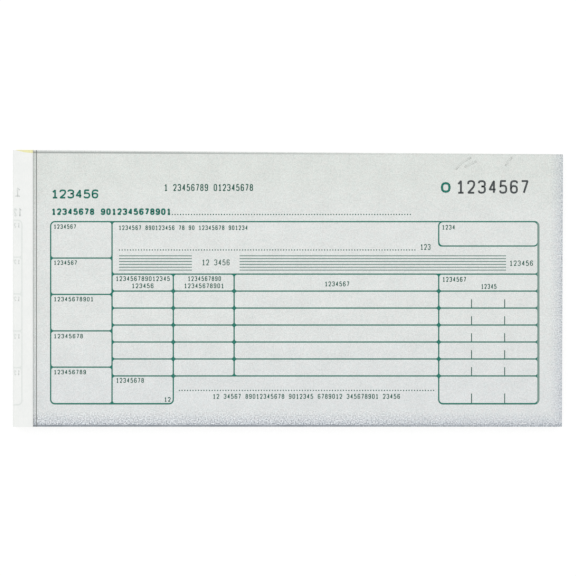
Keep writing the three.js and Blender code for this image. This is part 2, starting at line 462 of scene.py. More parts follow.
def turned_over(flap, profile, material, thickness):
    """Cover or first sheet: it goes from the stub over the crease, round the spine and on under the book.
    Three pieces, each bending across one hinge, meet halfway along the strip and down the spine."""
    stub_z, strip_z, panel_z = (middle_height(f"{flap}_{part}") for part in ("stub", "strip", "panel"))
    spine_low, spine_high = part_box(f"{flap}_spine")
    spine_x = (spine_low.x + spine_high.x) / 2
    panel_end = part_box(f"{flap}_panel")[1].x
    strip_middle = (CREASE.x + TOP_CORNER.x) / 2
    spine_middle = (TOP_CORNER.z + BOTTOM_CORNER.z) / 2
    fold_x = CREASE.x - FOLD_SETBACK
    end_run = (STUB - 2 * FOLD_SETBACK + math.pi * (CREASE.z - stub_z) + CREASE.x - TOP_CORNER.x
               + math.pi * (TOP_CORNER.x - spine_x) + TOP_CORNER.z - BOTTOM_CORNER.z
               + panel_end - BOTTOM_CORNER.x)
    # Each piece: its name, its start and moves, where it bends from and to, and the solids that it replaces
    pieces = [
        ("fold", (SPINE_EDGE, stub_z), [("flat", fold_x, stub_z, 2), ("turn", fold_x, CREASE.z, 180, 16),
                                        ("flat", strip_middle, strip_z, 2)],
         ("bound_block", CREASE.x, stub_z), (f"{flap}_strip", CREASE.x, strip_z), ["stub"]),
        ("upper_corner", (strip_middle, strip_z),
         [("flat", TOP_CORNER.x, strip_z, 2), ("turn", TOP_CORNER.x, TOP_CORNER.z, 90, 10),
          ("flat", spine_x, spine_middle, 2)],
         (f"{flap}_strip", TOP_CORNER.x, strip_z), (f"{flap}_spine", spine_x, TOP_CORNER.z),
         ["strip", "spine"]),
        ("lower_part", (spine_x, spine_middle),
         [("flat", spine_x, BOTTOM_CORNER.z, 2), ("turn", BOTTOM_CORNER.x, BOTTOM_CORNER.z, 90, 10),
          ("flat", panel_end, panel_z, 4)],
         (f"{flap}_spine", spine_x, BOTTOM_CORNER.z), (f"{flap}_panel", BOTTOM_CORNER.x, panel_z), ["panel"]),
    ]
    run = 0.0
    for part, start, moves, (body, x0, z0), (next_body, x1, z1), solids in pieces:
        bm = bmesh.new()
        run = add_sheet(bm, start, moves, profile, run=run, end_run=end_run)
        piece = thicken(finish_piece(f"{flap}_{part}", bm, material), thickness)
        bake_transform(piece)
        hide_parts(*[f"{flap}_{solid}" for solid in solids])


BEND_STEPS = 10
SHORTEST_BEND = 2.0 * MM
BEND_GROWTH = 1.75  # how much longer the bend is for each millimetre below the page


def bend_length(height):
    """How far along the leaf its bend reaches: more for a leaf further below the crease's axis."""
    return SHORTEST_BEND + max(0.0, PAGE_TOP - height) * BEND_GROWTH


def bend_leaf(piece):
    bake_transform(piece)


def add_leaf(bm, height, profile, foot, end, index=0):
    """One leaf, flat from the spine edge to its free end."""
    bend_end = CREASE.x + bend_length(height)
    moves = [("flat", CREASE.x, height, 1), ("flat", bend_end, height, BEND_STEPS), ("flat", end, height, 4)]
    add_sheet(bm, (SPINE_EDGE, height), moves, profile, foot=foot, index=index, lean=sizes().lean)


def bound_leaf(piece, body, height, thickness, *solids):
    """Finishes a leaf, or a set's leaves in one piece: gives it its thickness and hides the solids that it
    replaces.
    """
    thicken(piece, thickness)
    bend_leaf(piece)
    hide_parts(*solids)


def fixed(piece, solid):
    """Finishes a piece of the binding, which doesn't move."""
    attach(piece, "bound_block")
    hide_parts(solid)


class ReceiptBookOperator:
    bl_options = {"REGISTER", "UNDO"}


class RECEIPTBOOK_OT_cover(ReceiptBookOperator, bpy.types.Operator):
    """Builds the yellow cover card, turned over at the crease and round the spine"""
    bl_idname = "receiptbook.cover"
    bl_label = "Cover"

    def execute(self, context):
        turned_over("cover", square_profile(), cover_card(), sizes().cover_thickness)
        return {"FINISHED"}


class RECEIPTBOOK_OT_first_sheet(ReceiptBookOperator, bpy.types.Operator):
    """Builds the white first sheet that lies on the cover"""
    bl_idname = "receiptbook.first_sheet"
    bl_label = "First sheet"

    def execute(self, context):
        # Its corner at the crease is drawn down, so that the cover shows above it as a thin wedge.
        strip_start = STUB - FOLD_SETBACK + math.pi * FOLD_RADIUS
        strip_end = strip_start - FOLD_SETBACK + CREASE.x - TOP_CORNER.x
        between = strip_start + (strip_end - strip_start) * 0.4
        drops = [(0.0, 0.6), (STUB - FOLD_SETBACK, 1.2), (strip_start, 1.2), (between, 0.95),
                 (strip_end, 0.05)]  # places along the sheet, and millimetres below the leaves' top
        profile = [(run, TOP_EDGE - drop * MM) for run, drop in drops]
        profile.append((LEAF_LENGTH, TOP_EDGE - sizes().out_of_square))
        turned_over("first_sheet", profile, top_paper(), sizes().leaf_thickness)
        return {"FINISHED"}


PAGE_RISE = 0.75 * MM  # the page's top is short at the spine only, so it falls less than the others


class RECEIPTBOOK_OT_page(ReceiptBookOperator, bpy.types.Operator):
    """Builds the page that shows, the second copy of the first set"""
    bl_idname = "receiptbook.page"
    bl_label = "Page"

    def execute(self, context):
        c = colours()
        # The page's line of painted shade lies along its own top edge
        paper = copy_paper("coated_copy_paper", (c.page, c.page_top_shade, c.page_foot_shade), edge_speckle_and_shade=1.0, top_shade=0.78,
                           band=(-0.2, -0.1, 0.28, 0.6))
        height = middle_height("second_copy")
        bm = bmesh.new()
        add_leaf(bm, height, square_profile(sizes().page_short, PAGE_RISE), BOTTOM_EDGE, RIGHT_EDGE)
        bound_leaf(finish_piece("page", bm, paper), "second_copy", height, sizes().leaf_thickness,
                   "second_copy", "second_copy_stub")
        return {"FINISHED"}


TRIM_SPREAD = 0.12  # millimetres by which the lower leaves' edges vary
TRIM_STEP = 0.02 * MM  # least step between the edges of leaves that lie on each other
LEAF_AIR = 0.004 * MM  # between the leaves of a set


class RECEIPTBOOK_OT_lower_leaves(ReceiptBookOperator, bpy.types.Operator):
    """Builds the third copy and the sets below it, three loose leaves each"""
    bl_idname = "receiptbook.lower_leaves"
    bl_label = "Lower leaves"

    def execute(self, context):
        draw = random.Random(7)
        white = bpy.data.materials["wood_free_white_paper"]
        # Painted shade: the foot's tint is a little darker than the rest
        tints = [linear(code) for code in ("#E9ECE9", "#E9ECE9", "#E6E9E8")]
        # Painted shadow of the leaf above: the grey line lies 0.7 millimetres below each leaf's top edge
        pale = copy_paper("coated_copy_paper_below", tints, edge_speckle_and_shade=0.6, top_shade=0.6, band=(-0.2, 0.7, 0.8, 1.2))
        height = middle_height("third_copy")
        bm = bmesh.new()
        add_leaf(bm, height, square_profile(), BOTTOM_EDGE, RIGHT_EDGE - TRIM_STEP)
        bound_leaf(finish_piece("third_copy_leaf", bm, pale, white), "third_copy", height,
                   sizes().leaf_thickness, "third_copy", "third_copy_stub")
        for name in SETS:
            low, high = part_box(name)
            thickness = (high.z - low.z) / LEAVES_IN_SET
            bm = bmesh.new()
            for leaf in range(LEAVES_IN_SET):
                short, foot, end = (draw.uniform(0.0, TRIM_SPREAD) * MM for _ in range(3))
                add_leaf(bm, high.z - thickness * (leaf + 0.5), square_profile(short, TRIM_STEP),
                         BOTTOM_EDGE + foot, RIGHT_EDGE - end, index=1 if leaf == 0 else 0)
            solids = [name, "later_sets_stub"] if name == SETS[0] else [name]
            bound_leaf(finish_piece(f"{name}_leaves", bm, pale, white), name, (low.z + high.z) / 2,
                       thickness - LEAF_AIR, *solids)
        return {"FINISHED"}


BOARD_BEVEL = 0.12 * MM


class RECEIPTBOOK_OT_board(ReceiptBookOperator, bpy.types.Operator):
    """Builds the grey board under the leaves"""
    bl_idname = "receiptbook.board"
    bl_label = "Back board"

    def execute(self, context):
        low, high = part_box("back_board")
        place = Matrix.Translation((high + low) / 2) @ Matrix.Diagonal((*(high - low), 1))
        bm = bmesh.new()
        bmesh.ops.create_cube(bm, size=1.0, matrix=place)
        for v in bm.verts:
            if v.co.x > 0 and v.co.y > 0:
                v.co.y -= sizes().out_of_square
            elif v.co.x > 0:
                v.co.x -= sizes().lean
        bmesh.ops.bevel(bm, geom=bm.edges[:], offset=BOARD_BEVEL, affect="EDGES", segments=2, profile=0.5,
                        material=-1)
        fixed(finish_piece("board", bm, grey_board()), "back_board")
        return {"FINISHED"}


TAPE_BEND = 0.3 * MM
STAPLE_BEND = 0.45 * MM
STAPLE_BEND_STEPS = 5
STAPLE_TIP = 4 * MM


class RECEIPTBOOK_OT_binding(ReceiptBookOperator, bpy.types.Operator):
    """Builds the tape round the spine and the two staples through the stub"""
    bl_idname = "receiptbook.binding"
    bl_label = "Tape and staples"

    def execute(self, context):
        thickness = sizes().tape_thickness
        low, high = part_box("binding_tape")
        left, top, bottom = low.x + thickness / 2, high.z - thickness / 2, low.z + thickness / 2
        centre, upper, lower = left + TAPE_BEND, top - TAPE_BEND, bottom + TAPE_BEND
        bm = bmesh.new()
        moves = [("flat", centre, top, 2), ("turn", centre, upper, 90, 6), ("flat", left, lower, 2),
                 ("turn", centre, lower, 90, 6), ("flat", high.x, bottom, 2)]
        add_sheet(bm, (high.x, top), moves, [(0.0, TOP_EDGE), (1.0, TOP_EDGE)])
        tape = thicken(finish_piece("tape", bm, gummed_tape()), thickness)
        fixed(tape, "binding_tape")
        wire = staple_wire()
        for number in (1, 2):
            self.staple(number, wire)
        return {"FINISHED"}

    def staple(self, number, wire):
        """A round wire: one bent-in tip, leg, crown, leg, and the other tip."""
        low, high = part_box(f"staple_{number}")
        half = sizes().wire / 2
        x, y = (low.x + high.x) / 2, (low.y + high.y) / 2
        reach = (high.y - low.y) / 2 - half
        tip = reach - STAPLE_TIP + half
        top, bottom = high.z - half, low.z + half
        here = Vector((x, y - tip, bottom))
        stops = [Vector((x, y + across, z)) for across, z in (
            (-reach, bottom), (-reach, top), (reach, top), (reach, bottom), (tip, bottom))]
        ways = [Vector(way) for way in ((0, -1, 0), (0, 0, 1), (0, 1, 0), (0, 0, -1), (0, -1, 0))]
        bm = bmesh.new()
        turned = Matrix.Translation(here) @ Matrix.Rotation(math.radians(90), 4, "X")
        bmesh.ops.create_circle(bm, segments=12, radius=half, matrix=turned)
        edges = bm.edges[:]
        turn = math.radians(90) / STAPLE_BEND_STEPS
        for stop, way, after in zip(stops, ways, ways[1:] + [None]):
            target = stop if after is None else stop - way * STAPLE_BEND
            edges, ring, _ = pulled(bm, edges)
            bmesh.ops.translate(bm, vec=target - here, verts=ring)
            if after is None:
                break
            for _ in range(STAPLE_BEND_STEPS):
                edges, ring, _ = pulled(bm, edges)
                bmesh.ops.rotate(bm, cent=target + after * STAPLE_BEND,
                                 matrix=Matrix.Rotation(turn, 3, way.cross(after)), verts=ring)
            here = stop + after * STAPLE_BEND
        bmesh.ops.holes_fill(bm, edges=[e for e in bm.edges if e.is_boundary], sides=0)
        bmesh.ops.recalc_face_normals(bm, faces=bm.faces[:])
        for face in bm.faces:
            face.smooth = len(face.verts) == 4
        fixed(finish_piece(f"staple_wire_{number}", bm, wire), f"staple_{number}")


def at(x, y):
    """A place on the form in metres, from millimetres right of the crease and up from the book's middle."""
    return Vector((CREASE.x + x * MM, y * MM, 0))


# Lines of the form, in millimetres right of the crease and up from the book's middle
LEFT, SECOND, THIRD, FOURTH, FIFTH, RIGHT = 6.05, 29.1, 52.1, 74.96, 151.82, 189.2
FORM_TOP, DATE_FOOT, HEAD_TOP, FORM_FOOT = 25.05, 15.9, 5.35, -43.3
# The right and lower outer lines are printed heavier, and the right one is pressed wide and thin of ink.
RIGHT_INSIDE, RIGHT_OUTSIDE, FOOT_OUTSIDE = RIGHT - 0.12, RIGHT + 0.22, FORM_FOOT - 0.1
RIGHT_LINE_START = RIGHT - 0.45
LEFT_BOXES = [FORM_TOP, 11.37, -2.27, -15.98, -29.6, FORM_FOOT]
BODY_ROWS = [-1.03 - 6.375 * number for number in range(6)]
ROWS_FOOT = BODY_ROWS[-1]
OUTER_CORNERS = [(LEFT, FORM_TOP), (RIGHT, FORM_TOP), (RIGHT, FORM_FOOT), (FIFTH, FORM_FOOT),
                 (THIRD, FORM_FOOT), (LEFT, FORM_FOOT), (FIFTH, DATE_FOOT), (RIGHT, DATE_FOOT),
                 (FIFTH, FORM_TOP)]
FLARES = [((FIFTH, FORM_TOP), "way in"), ((RIGHT, DATE_FOOT), "way out")]
TICK_COLUMNS = (164.14, 176.59)
TICK_START, TICK_END, LOW_TICK_END = 0.25, 3.3, 3.8  # above the foot of a row, and of the lowest box
RULES_TOP, RULE_PITCH, RULE_COUNT = 12.22, 1.073, 6
RULE_RUNS = ((31.7, 59.1), (77.0, 177.1))
DOTTED_LINES = ((51.75, 141.7, 27.75), (31.9, 143.1, 14.42), (54.38, 150.1, -38.33))


def flared(corner, back, on, wide_radius, steps):
    """A corner that runs on past itself, along the outside of the next box's rounded corner."""
    around = wide_radius + sizes().line
    centre = corner + back * wide_radius - on * around
    last = math.asin(wide_radius / around)
    return [centre + (on * math.cos(last * step / steps) - back * math.sin(last * step / steps)) * around
            for step in range(steps + 1)]


def is_near(corner, place):
    return (corner - at(*place)).length < 1.0 * MM


def neighbours(points):
    return zip(points[-1:] + points[:-1], points, points[1:] + points[:1])


def rounded(points, radius, wide_radius, steps=5, flares=()):
    """A closed outline of square corners, each replaced by a short arc, wider at the form's outer corners.
    Where the next box's rounded corner meets this outline, a flare follows its arc, on the way in or out."""
    made = []
    for before, corner, after in neighbours(points):
        back, on = (before - corner).normalized(), (after - corner).normalized()
        arc = next((side for place, side in flares if is_near(corner, place)), "")
        if arc == "way in":
            made += flared(corner, back, on, wide_radius, steps)
        elif arc == "way out":
            made += flared(corner, on, back, wide_radius, steps)[::-1]
        else:
            here = wide_radius if any(is_near(corner, place) for place in OUTER_CORNERS) else radius
            centre = corner + (back + on) * here
            for step in range(steps + 1):
                angle = math.pi / 2 * step / steps
                made.append(centre - (on * math.cos(angle) + back * math.sin(angle)) * here)
    return made


def shrunk(points, by):
    """The same outline of square corners, given counter-clockwise, drawn in by a distance."""
    made = []
    for before, corner, after in neighbours(points):
        come, go = (corner - before).normalized(), (after - corner).normalized()
        made.append(corner + (Vector((-come.y, come.x, 0)) + Vector((-go.y, go.x, 0))) * by)
    return made


SEAM = 0.0005 * MM


def mesh_of(data):
    """A curve as a closed mesh, its seams merged and its faces turned outwards."""
    drawn = bpy.data.objects.new(data.name, data)
    bpy.context.scene.collection.objects.link(drawn)
    bpy.context.view_layer.update()
    mesh = bpy.data.meshes.new_from_object(drawn.evaluated_get(bpy.context.evaluated_depsgraph_get()))
    bpy.data.objects.remove(drawn)
    bm = bmesh.new()
    bm.from_mesh(mesh)
    bpy.data.meshes.remove(mesh)
    bmesh.ops.remove_doubles(bm, verts=bm.verts[:], dist=SEAM)
    bmesh.ops.recalc_face_normals(bm, faces=bm.faces[:])
    return bm


INK_SOAK = 0.01 * MM


def half_ink():
    """Half of the ink layer's height: it reaches a little into the paper, so that no gap shows."""
    return (sizes().ink + INK_SOAK) / 2


def add_line(data, places, closed):
    spline = data.splines.new("POLY")
    spline.points.add(len(places) - 1)
    for point, place in zip(spline.points, places):
        point.co = (place.x, place.y, 0, 1)
    spline.use_cyclic_u = closed


def flat_shape(name, loops):
    """A filled flat shape as high as the ink: its first loop is the outside, the others are holes."""
    data = bpy.data.curves.new(name, "CURVE")
    data.dimensions = "2D"
    data.fill_mode = "BOTH"
    data.extrude = half_ink()
    for loop in loops:
        add_line(data, loop, True)
    return mesh_of(data)


def add_bar(bm, x0, y0, x1, y1):
    """A printed bar between two places of the form."""
    low, high = at(x0, y0), at(x1, y1)
    size = (high.x - low.x, high.y - low.y, 2 * half_ink(), 1)
    bmesh.ops.create_cube(bm, size=1.0, matrix=Matrix.Translation((low + high) / 2) @ Matrix.Diagonal(size))


def print_piece(name, bm, material, body="second_copy", surface=PAGE_TOP):
    """Lays print on the paper, so that its top stands a layer of ink above the surface."""
    bmesh.ops.translate(bm, vec=(0, 0, surface + sizes().ink - half_ink()), verts=bm.verts[:])
    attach(finish_piece(name, bm, material), body)


def box_loop(x0, y0, x1, y1):
    return [at(x0, y0), at(x1, y0), at(x1, y1), at(x0, y1)]


def form_loops():
    """The frame of the form: its outline, and a hole for each box."""
    outline = [(LEFT, FOOT_OUTSIDE), (THIRD, FOOT_OUTSIDE), (THIRD, ROWS_FOOT), (FIFTH, ROWS_FOOT),
               (FIFTH, FOOT_OUTSIDE), (RIGHT_OUTSIDE, FOOT_OUTSIDE), (RIGHT_OUTSIDE, FORM_TOP),
               (LEFT, FORM_TOP)]
    head = [(SECOND, HEAD_TOP), (RIGHT_INSIDE, HEAD_TOP), (RIGHT_INSIDE, DATE_FOOT), (FIFTH, DATE_FOOT),
            (FIFTH, FORM_TOP), (SECOND, FORM_TOP)]
    holes = [box_loop(FIFTH, DATE_FOOT, RIGHT_INSIDE, FORM_TOP),
             box_loop(SECOND, FORM_FOOT, THIRD, ROWS_FOOT),
             box_loop(FIFTH, FORM_FOOT, RIGHT_INSIDE, ROWS_FOOT)]
    holes += [box_loop(LEFT, foot, SECOND, top) for top, foot in zip(LEFT_BOXES, LEFT_BOXES[1:])]
    columns = [SECOND, THIRD, FOURTH, FIFTH, RIGHT_INSIDE]
    for top, foot in zip([HEAD_TOP] + BODY_ROWS, BODY_ROWS):
        holes += [box_loop(x0, foot, x1, top) for x0, x1 in zip(columns, columns[1:])]
    half = sizes().line / 2
    radius, wide = sizes().cell_radius, sizes().outer_radius
    return [rounded(shrunk([at(*p) for p in outline], -half), radius, wide + 2 * half),
            rounded(shrunk([at(*p) for p in head], half), radius, wide, flares=FLARES),
            *[rounded(shrunk(hole, half), radius, wide) for hole in holes]]


class RECEIPTBOOK_OT_form(ReceiptBookOperator, bpy.types.Operator):
    """Prints the ruled form on the page: frame, ticks, rules and dotted lines"""
    bl_idname = "receiptbook.form"
    bl_label = "Ruled form"

    def execute(self, context):
        s, c = sizes(), colours()
        worn = (at(RIGHT_LINE_START, 0).x / MM, "#7C968E")
        green = ink("green_offset_ink", c.frame_ink, "#47776C", 0.5, worn=worn)
        fine = ink("thin_green_offset_ink", c.fine_ink, "#7C9D94", 0.4)
        print_piece("form_frame", flat_shape("form_frame", form_loops()), green)
        bm = bmesh.new()
        half = s.thin_line / MM / 2
        ticks = [(foot, TICK_END) for foot in BODY_ROWS[1:]] + [(FORM_FOOT, LOW_TICK_END)]
        for x in TICK_COLUMNS:
            for foot, end in ticks:
                add_bar(bm, x - half, foot + TICK_START, x + half, foot + end)
        print_piece("ticks", bm, ink("grey_green_offset_ink", linear("#2E5A50"), "#5E7F76", 0.4))
        bm = bmesh.new()
        half = s.rule / MM / 2
        for number in range(RULE_COUNT):
            y = RULES_TOP - RULE_PITCH * number
            for x0, x1 in RULE_RUNS:
                add_bar(bm, x0, y - half, x1, y + half)
        print_piece("security_rules", bm, fine)
        bm = bmesh.new()
        pitch = s.dot_pitch / MM
        for x0, x1, y in DOTTED_LINES:
            for number in range(int((x1 - x0) / pitch) + 1):
                place = Matrix.Translation(at(x0 + number * pitch, y))
                bmesh.ops.create_cone(bm, segments=6, radius1=s.dot / 2, radius2=s.dot / 2,
                                      depth=2 * half_ink(), cap_ends=True, matrix=place)
        print_piece("dotted_lines", bm, ink("dot_ink", linear("#28594E"), "#5F8A7C", 0.3))
        return {"FINISHED"}


# Places that hold print on the form, each filled with a plain run of digits: left and right end, baseline
# and top in millimetres, then the digits in each word
LABELS = [
    (7.2, 15.6, 22.3, 24.1, (7,)),
    (7.2, 15.95, 8.75, 10.55, (7,)),
    (7.2, 22.1, -4.95, -3.15, (11,)),
    (7.2, 18.2, -18.85, -17.05, (8,)),
    (7.2, 19.35, -32.35, -30.55, (9,)),
    (31.6, 80.1, 21.85, 23.7, (7, 9, 2, 2, 8, 6)),
    (144.9, 148.75, 14.4, 16.7, (3,)),
    (62.85, 73.3, 8.6, 10.9, (2, 4)),
    (178.4, 187.25, 8.4, 10.5, (6,)),
    (30.5, 50.85, 2.7, 4.6, (15,)),
    (36.5, 44.7, 0.0, 1.9, (6,)),
    (57.55, 70.05, 2.7, 4.6, (10,)),
    (56.15, 71.1, 0.0, 1.9, (11,)),
    (109.0, 118.25, 0.7, 2.65, (7,)),
    (153.2, 162.1, 2.4, 4.35, (7,)),
    (167.7, 173.55, -0.25, 1.7, (5,)),
    (30.6, 41.1, -35.55, -33.6, (8,)),
    (48.65, 51.15, -42.65, -40.8, (2,)),
    (66.95, 137.3, -41.55, -39.6, (2, 5, 11, 7, 7, 9, 5)),
    (153.05, 157.95, 22.0, 23.9, (4,)),
]
LEFT_LABELS = LABELS[:5]
CAPTION = (48.65, 82.1, 36.5, 39.25, (1, 8, 9))
TITLES = [(6.3, 24.0, 33.7, 37.2, (6,)), (6.3, 51.3, 27.5, 30.1, (8, 13))]
SHEET_NUMBER = (158.5, 185.6, 35.5, 40.7, (7,))
SERIES_MARK, SERIES_MARK_SIZE = (153.05, 36.3), (2.8, 3.2)
PENCIL_MARKS = (((158.2, 44.6), (160.5, 47.3), (164.0, 49.2)), ((161.5, 45.5), (164.0, 46.9), (166.0, 47.7)),
                ((176.9, 45.9), (177.9, 47.9), (179.4, 49.2)))

# Each digit as strokes in a box one wide and one high. A stroke is the points that it runs through, and a
# third number of 1 rounds that corner; a stroke that ends where it starts is closed.
DIGITS = {
    "0": [[(0, 0, 1), (1, 0, 1), (1, 1, 1), (0, 1, 1), (0, 0, 1)]],
    "1": [[(0.12, 0.74, 0), (0.56, 1, 0), (0.56, 0, 0)], [(0.1, 0, 0), (1, 0, 0)]],
    "2": [[(0, 0.74, 0), (0, 1, 1), (1, 1, 1), (1, 0.55, 1), (0, 0, 0), (1, 0, 0)]],
    "3": [[(0, 0.8, 0), (0, 1, 1), (1, 1, 1), (1, 0.54, 1), (0.4, 0.54, 0)],
          [(0.4, 0.54, 0), (1, 0.54, 1), (1, 0, 1), (0, 0, 1), (0, 0.2, 0)]],
    "4": [[(0.72, 0, 0), (0.72, 1, 0), (0, 0.28, 0), (1, 0.28, 0)]],
    "5": [[(0.94, 1, 0), (0.1, 1, 0), (0.04, 0.5, 0), (0.04, 0.61, 1), (1, 0.61, 1), (1, 0, 1), (0, 0, 1),
           (0, 0.2, 0)]],
    "6": [[(0, 0, 1), (1, 0, 1), (1, 0.58, 1), (0, 0.58, 1), (0, 0, 1)],
          [(0, 0.3, 0), (0, 1, 1), (1, 1, 1), (1, 0.8, 0)]],
    "7": [[(0, 1, 0), (1, 1, 0), (0.36, 0, 0)]],
    "8": [[(0, 0, 1), (1, 0, 1), (1, 0.54, 1), (0, 0.54, 1), (0, 0, 1)],
          [(0.05, 0.54, 1), (0.95, 0.54, 1), (0.95, 1, 1), (0.05, 1, 1), (0.05, 0.54, 1)]],
    "9": [[(0, 0.42, 1), (1, 0.42, 1), (1, 1, 1), (0, 1, 1), (0, 0.42, 1)],
          [(1, 0.7, 0), (1, 0, 1), (0, 0, 1), (0, 0.2, 0)]],
}


def softened(points, closed, reach, small_reach, steps=3):
    """Points of a stroke with its corners rounded; each point is (place, whether it is widely rounded)."""
    made = []
    count = len(points)
    for i, (corner, soft) in enumerate(points):
        if not closed and i in (0, count - 1):
            made.append(corner)
            continue
        back, on = points[i - 1][0] - corner, points[(i + 1) % count][0] - corner
        here = reach if soft else small_reach
        start = corner + back.normalized() * min(here, back.length / 2)
        end = corner + on.normalized() * min(here, on.length / 2)
        for step in range(steps + 1):
            t = step / steps
            made.append(start * (1 - t) ** 2 + corner * (2 * t * (1 - t)) + end * t ** 2)
    return made


def add_strokes(data, strokes, place, width, height):
    """Adds a digit's strokes to a curve as lines, fitted to a box."""
    for stroke in strokes:
        closed = stroke[0] == stroke[-1]
        points = [(place + Vector((x * width, y * height, 0)), soft)
                  for x, y, soft in (stroke[:-1] if closed else stroke)]
        add_line(data, softened(points, closed, width / 2, data.bevel_depth / 2), closed)


def new_pen(name, stroke, sides=1):
    """A curve whose lines become strokes of a pen of that width, in millimetres."""
    data = bpy.data.curves.new(name, "CURVE")
    data.dimensions = "3D"
    data.bevel_depth = stroke * MM / 2
    data.bevel_resolution = sides
    data.use_fill_caps = True
    return data


def pen_print(data, material, **where):
    """Prints the pen's round strokes, pressed as flat as a layer of ink."""
    bm = mesh_of(data)
    bmesh.ops.scale(bm, vec=(1, 1, half_ink() / data.bevel_depth), verts=bm.verts[:])
    print_piece(data.name, bm, material, **where)


def write_digits(data, x0, x1, base, top, words, share=0.66, mirrored=False):
    """A run of digits in order, broken into words and fitted between two ends, a baseline and a top.
    Share is how much of the pitch a digit takes."""
    stroke = 2 * data.bevel_depth
    count = sum(words) + len(words) - 1
    first, last = at(x0, base), at(x1, top)
    height = last.y - first.y - stroke
    pitch = (last.x - first.x) / (count - 1 + share)
    column = digit = 0
    for word in words:
        for _ in range(word):
            digit += 1
            strokes = DIGITS[str(digit % 10)]
            if mirrored:
                strokes = [[(1 - x, y, soft) for x, y, soft in points] for points in strokes]
            place = count - 1 - column if mirrored else column
            corner = first + Vector((pitch * place + stroke / 2, stroke / 2, 0))
            add_strokes(data, strokes, corner, pitch * share - stroke, height)
            column += 1
        column += 1


class RECEIPTBOOK_OT_numbers(ReceiptBookOperator, bpy.types.Operator):
    """Prints the digits that stand where the form has print, and the sheet's number"""
    bl_idname = "receiptbook.numbers"
    bl_label = "Digits and number"

    def execute(self, context):
        c = colours()
        green = ink("title_offset_ink", c.title_ink, "#44877A", 0.5)
        small = ink("light_green_offset_ink", linear("#2F6355"), "#5C8779", 0.4)
        grey = ink("numbering_machine_ink", c.number_ink, "#6F7476", 0.6)
        self.print_runs(new_pen("small_digits", 0.36, 0), LABELS, 0.78, small)
        self.print_runs(new_pen("caption_digits", 0.47, 0), [CAPTION], 0.8, small)
        self.print_runs(new_pen("bold_digits", 0.7), TITLES, 0.86, green)
        pen = new_pen("series_mark", 0.95)
        width, height = SERIES_MARK_SIZE
        add_strokes(pen, DIGITS["0"], at(*SERIES_MARK), width * MM, height * MM)
        pen_print(pen, green)
        self.print_runs(new_pen("sheet_number", 0.8), [SHEET_NUMBER], 0.76, grey)
        pen = new_pen("pencil_marks", 0.75)
        for marks in PENCIL_MARKS:
            add_line(pen, [at(*mark) for mark in marks], False)
        pen_print(pen, ink("rubbed_graphite", c.mark, "#D8DBD7", 0.5))
        return {"FINISHED"}

    def print_runs(self, pen, runs, share, material):
        for run in runs:
            write_digits(pen, *run, share=share)
        pen_print(pen, material)


FRAME_PRINT = ("form_frame", "ticks", "security_rules")
GREEN_PRINT = FRAME_PRINT + ("dotted_lines", "small_digits", "caption_digits", "bold_digits", "series_mark")


def split(bm, place, way, **what):
    """Cuts a mesh across at a place along X, and gives the corners and edges of the cut."""
    return bmesh.ops.bisect_plane(bm, geom=bm.verts[:] + bm.edges[:] + bm.faces[:], plane_co=(place, 0, 0),
                                  plane_no=(way, 0, 0), **what)["geom_cut"]


class RECEIPTBOOK_OT_lower_print(ReceiptBookOperator, bpy.types.Operator):
    """Repeats the page's print on the third copy, and its frame on the first leaf of each set below"""
    bl_idname = "receiptbook.lower_print"
    bl_label = "Print on the lower leaves"

    def execute(self, context):
        self.repeat("third_copy_form", GREEN_PRINT, "green_offset_ink", "third_copy")
        self.repeat("third_copy_number", ["sheet_number"], "numbering_machine_ink", "third_copy")
        for name in SETS:
            self.repeat(f"{name}_form", FRAME_PRINT, "green_offset_ink", name)
        return {"FINISHED"}

    def repeat(self, name, prints, material, leaf):
        """The page's print in one mesh, cut where the leaf under it is cut."""
        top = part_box(leaf)[1].z
        bm = bmesh.new()
        for piece in prints:
            bm.from_mesh(bpy.data.objects[piece].data)
        bmesh.ops.translate(bm, vec=(0, 0, top - PAGE_TOP), verts=bm.verts[:])
        for step in range(1, BEND_STEPS + 1):
            split(bm, CREASE.x + bend_length(top) * step / BEND_STEPS, 1)
        bend_leaf(finish_piece(name, bm, bpy.data.materials[material]))


# The first sheet's print stands a little wider than the page's, because the sheet lies nearer to the eye.
GHOST_STRETCH = 1.012
GHOST_RISE = 0.19
GHOST_TITLES = [(-7.3, -4.9, 34.3, 37.9, (1,)), (-7.6, -4.75, 27.0, 30.1, (2,))]
GHOST_LABEL_ENDS = (-7.6, -5.3)
GHOST_LEFT_LINE = -4.6
STRIP_LEFT = -7.7
# The print moves towards the spine by what the strip and the run round the spine take up of it.
PANEL_PRINT_SHIFT = (18.3 + 7.42) * MM - (CREASE.x - TOP_CORNER.x)
PANEL_PRINT_START = 1.0 * MM


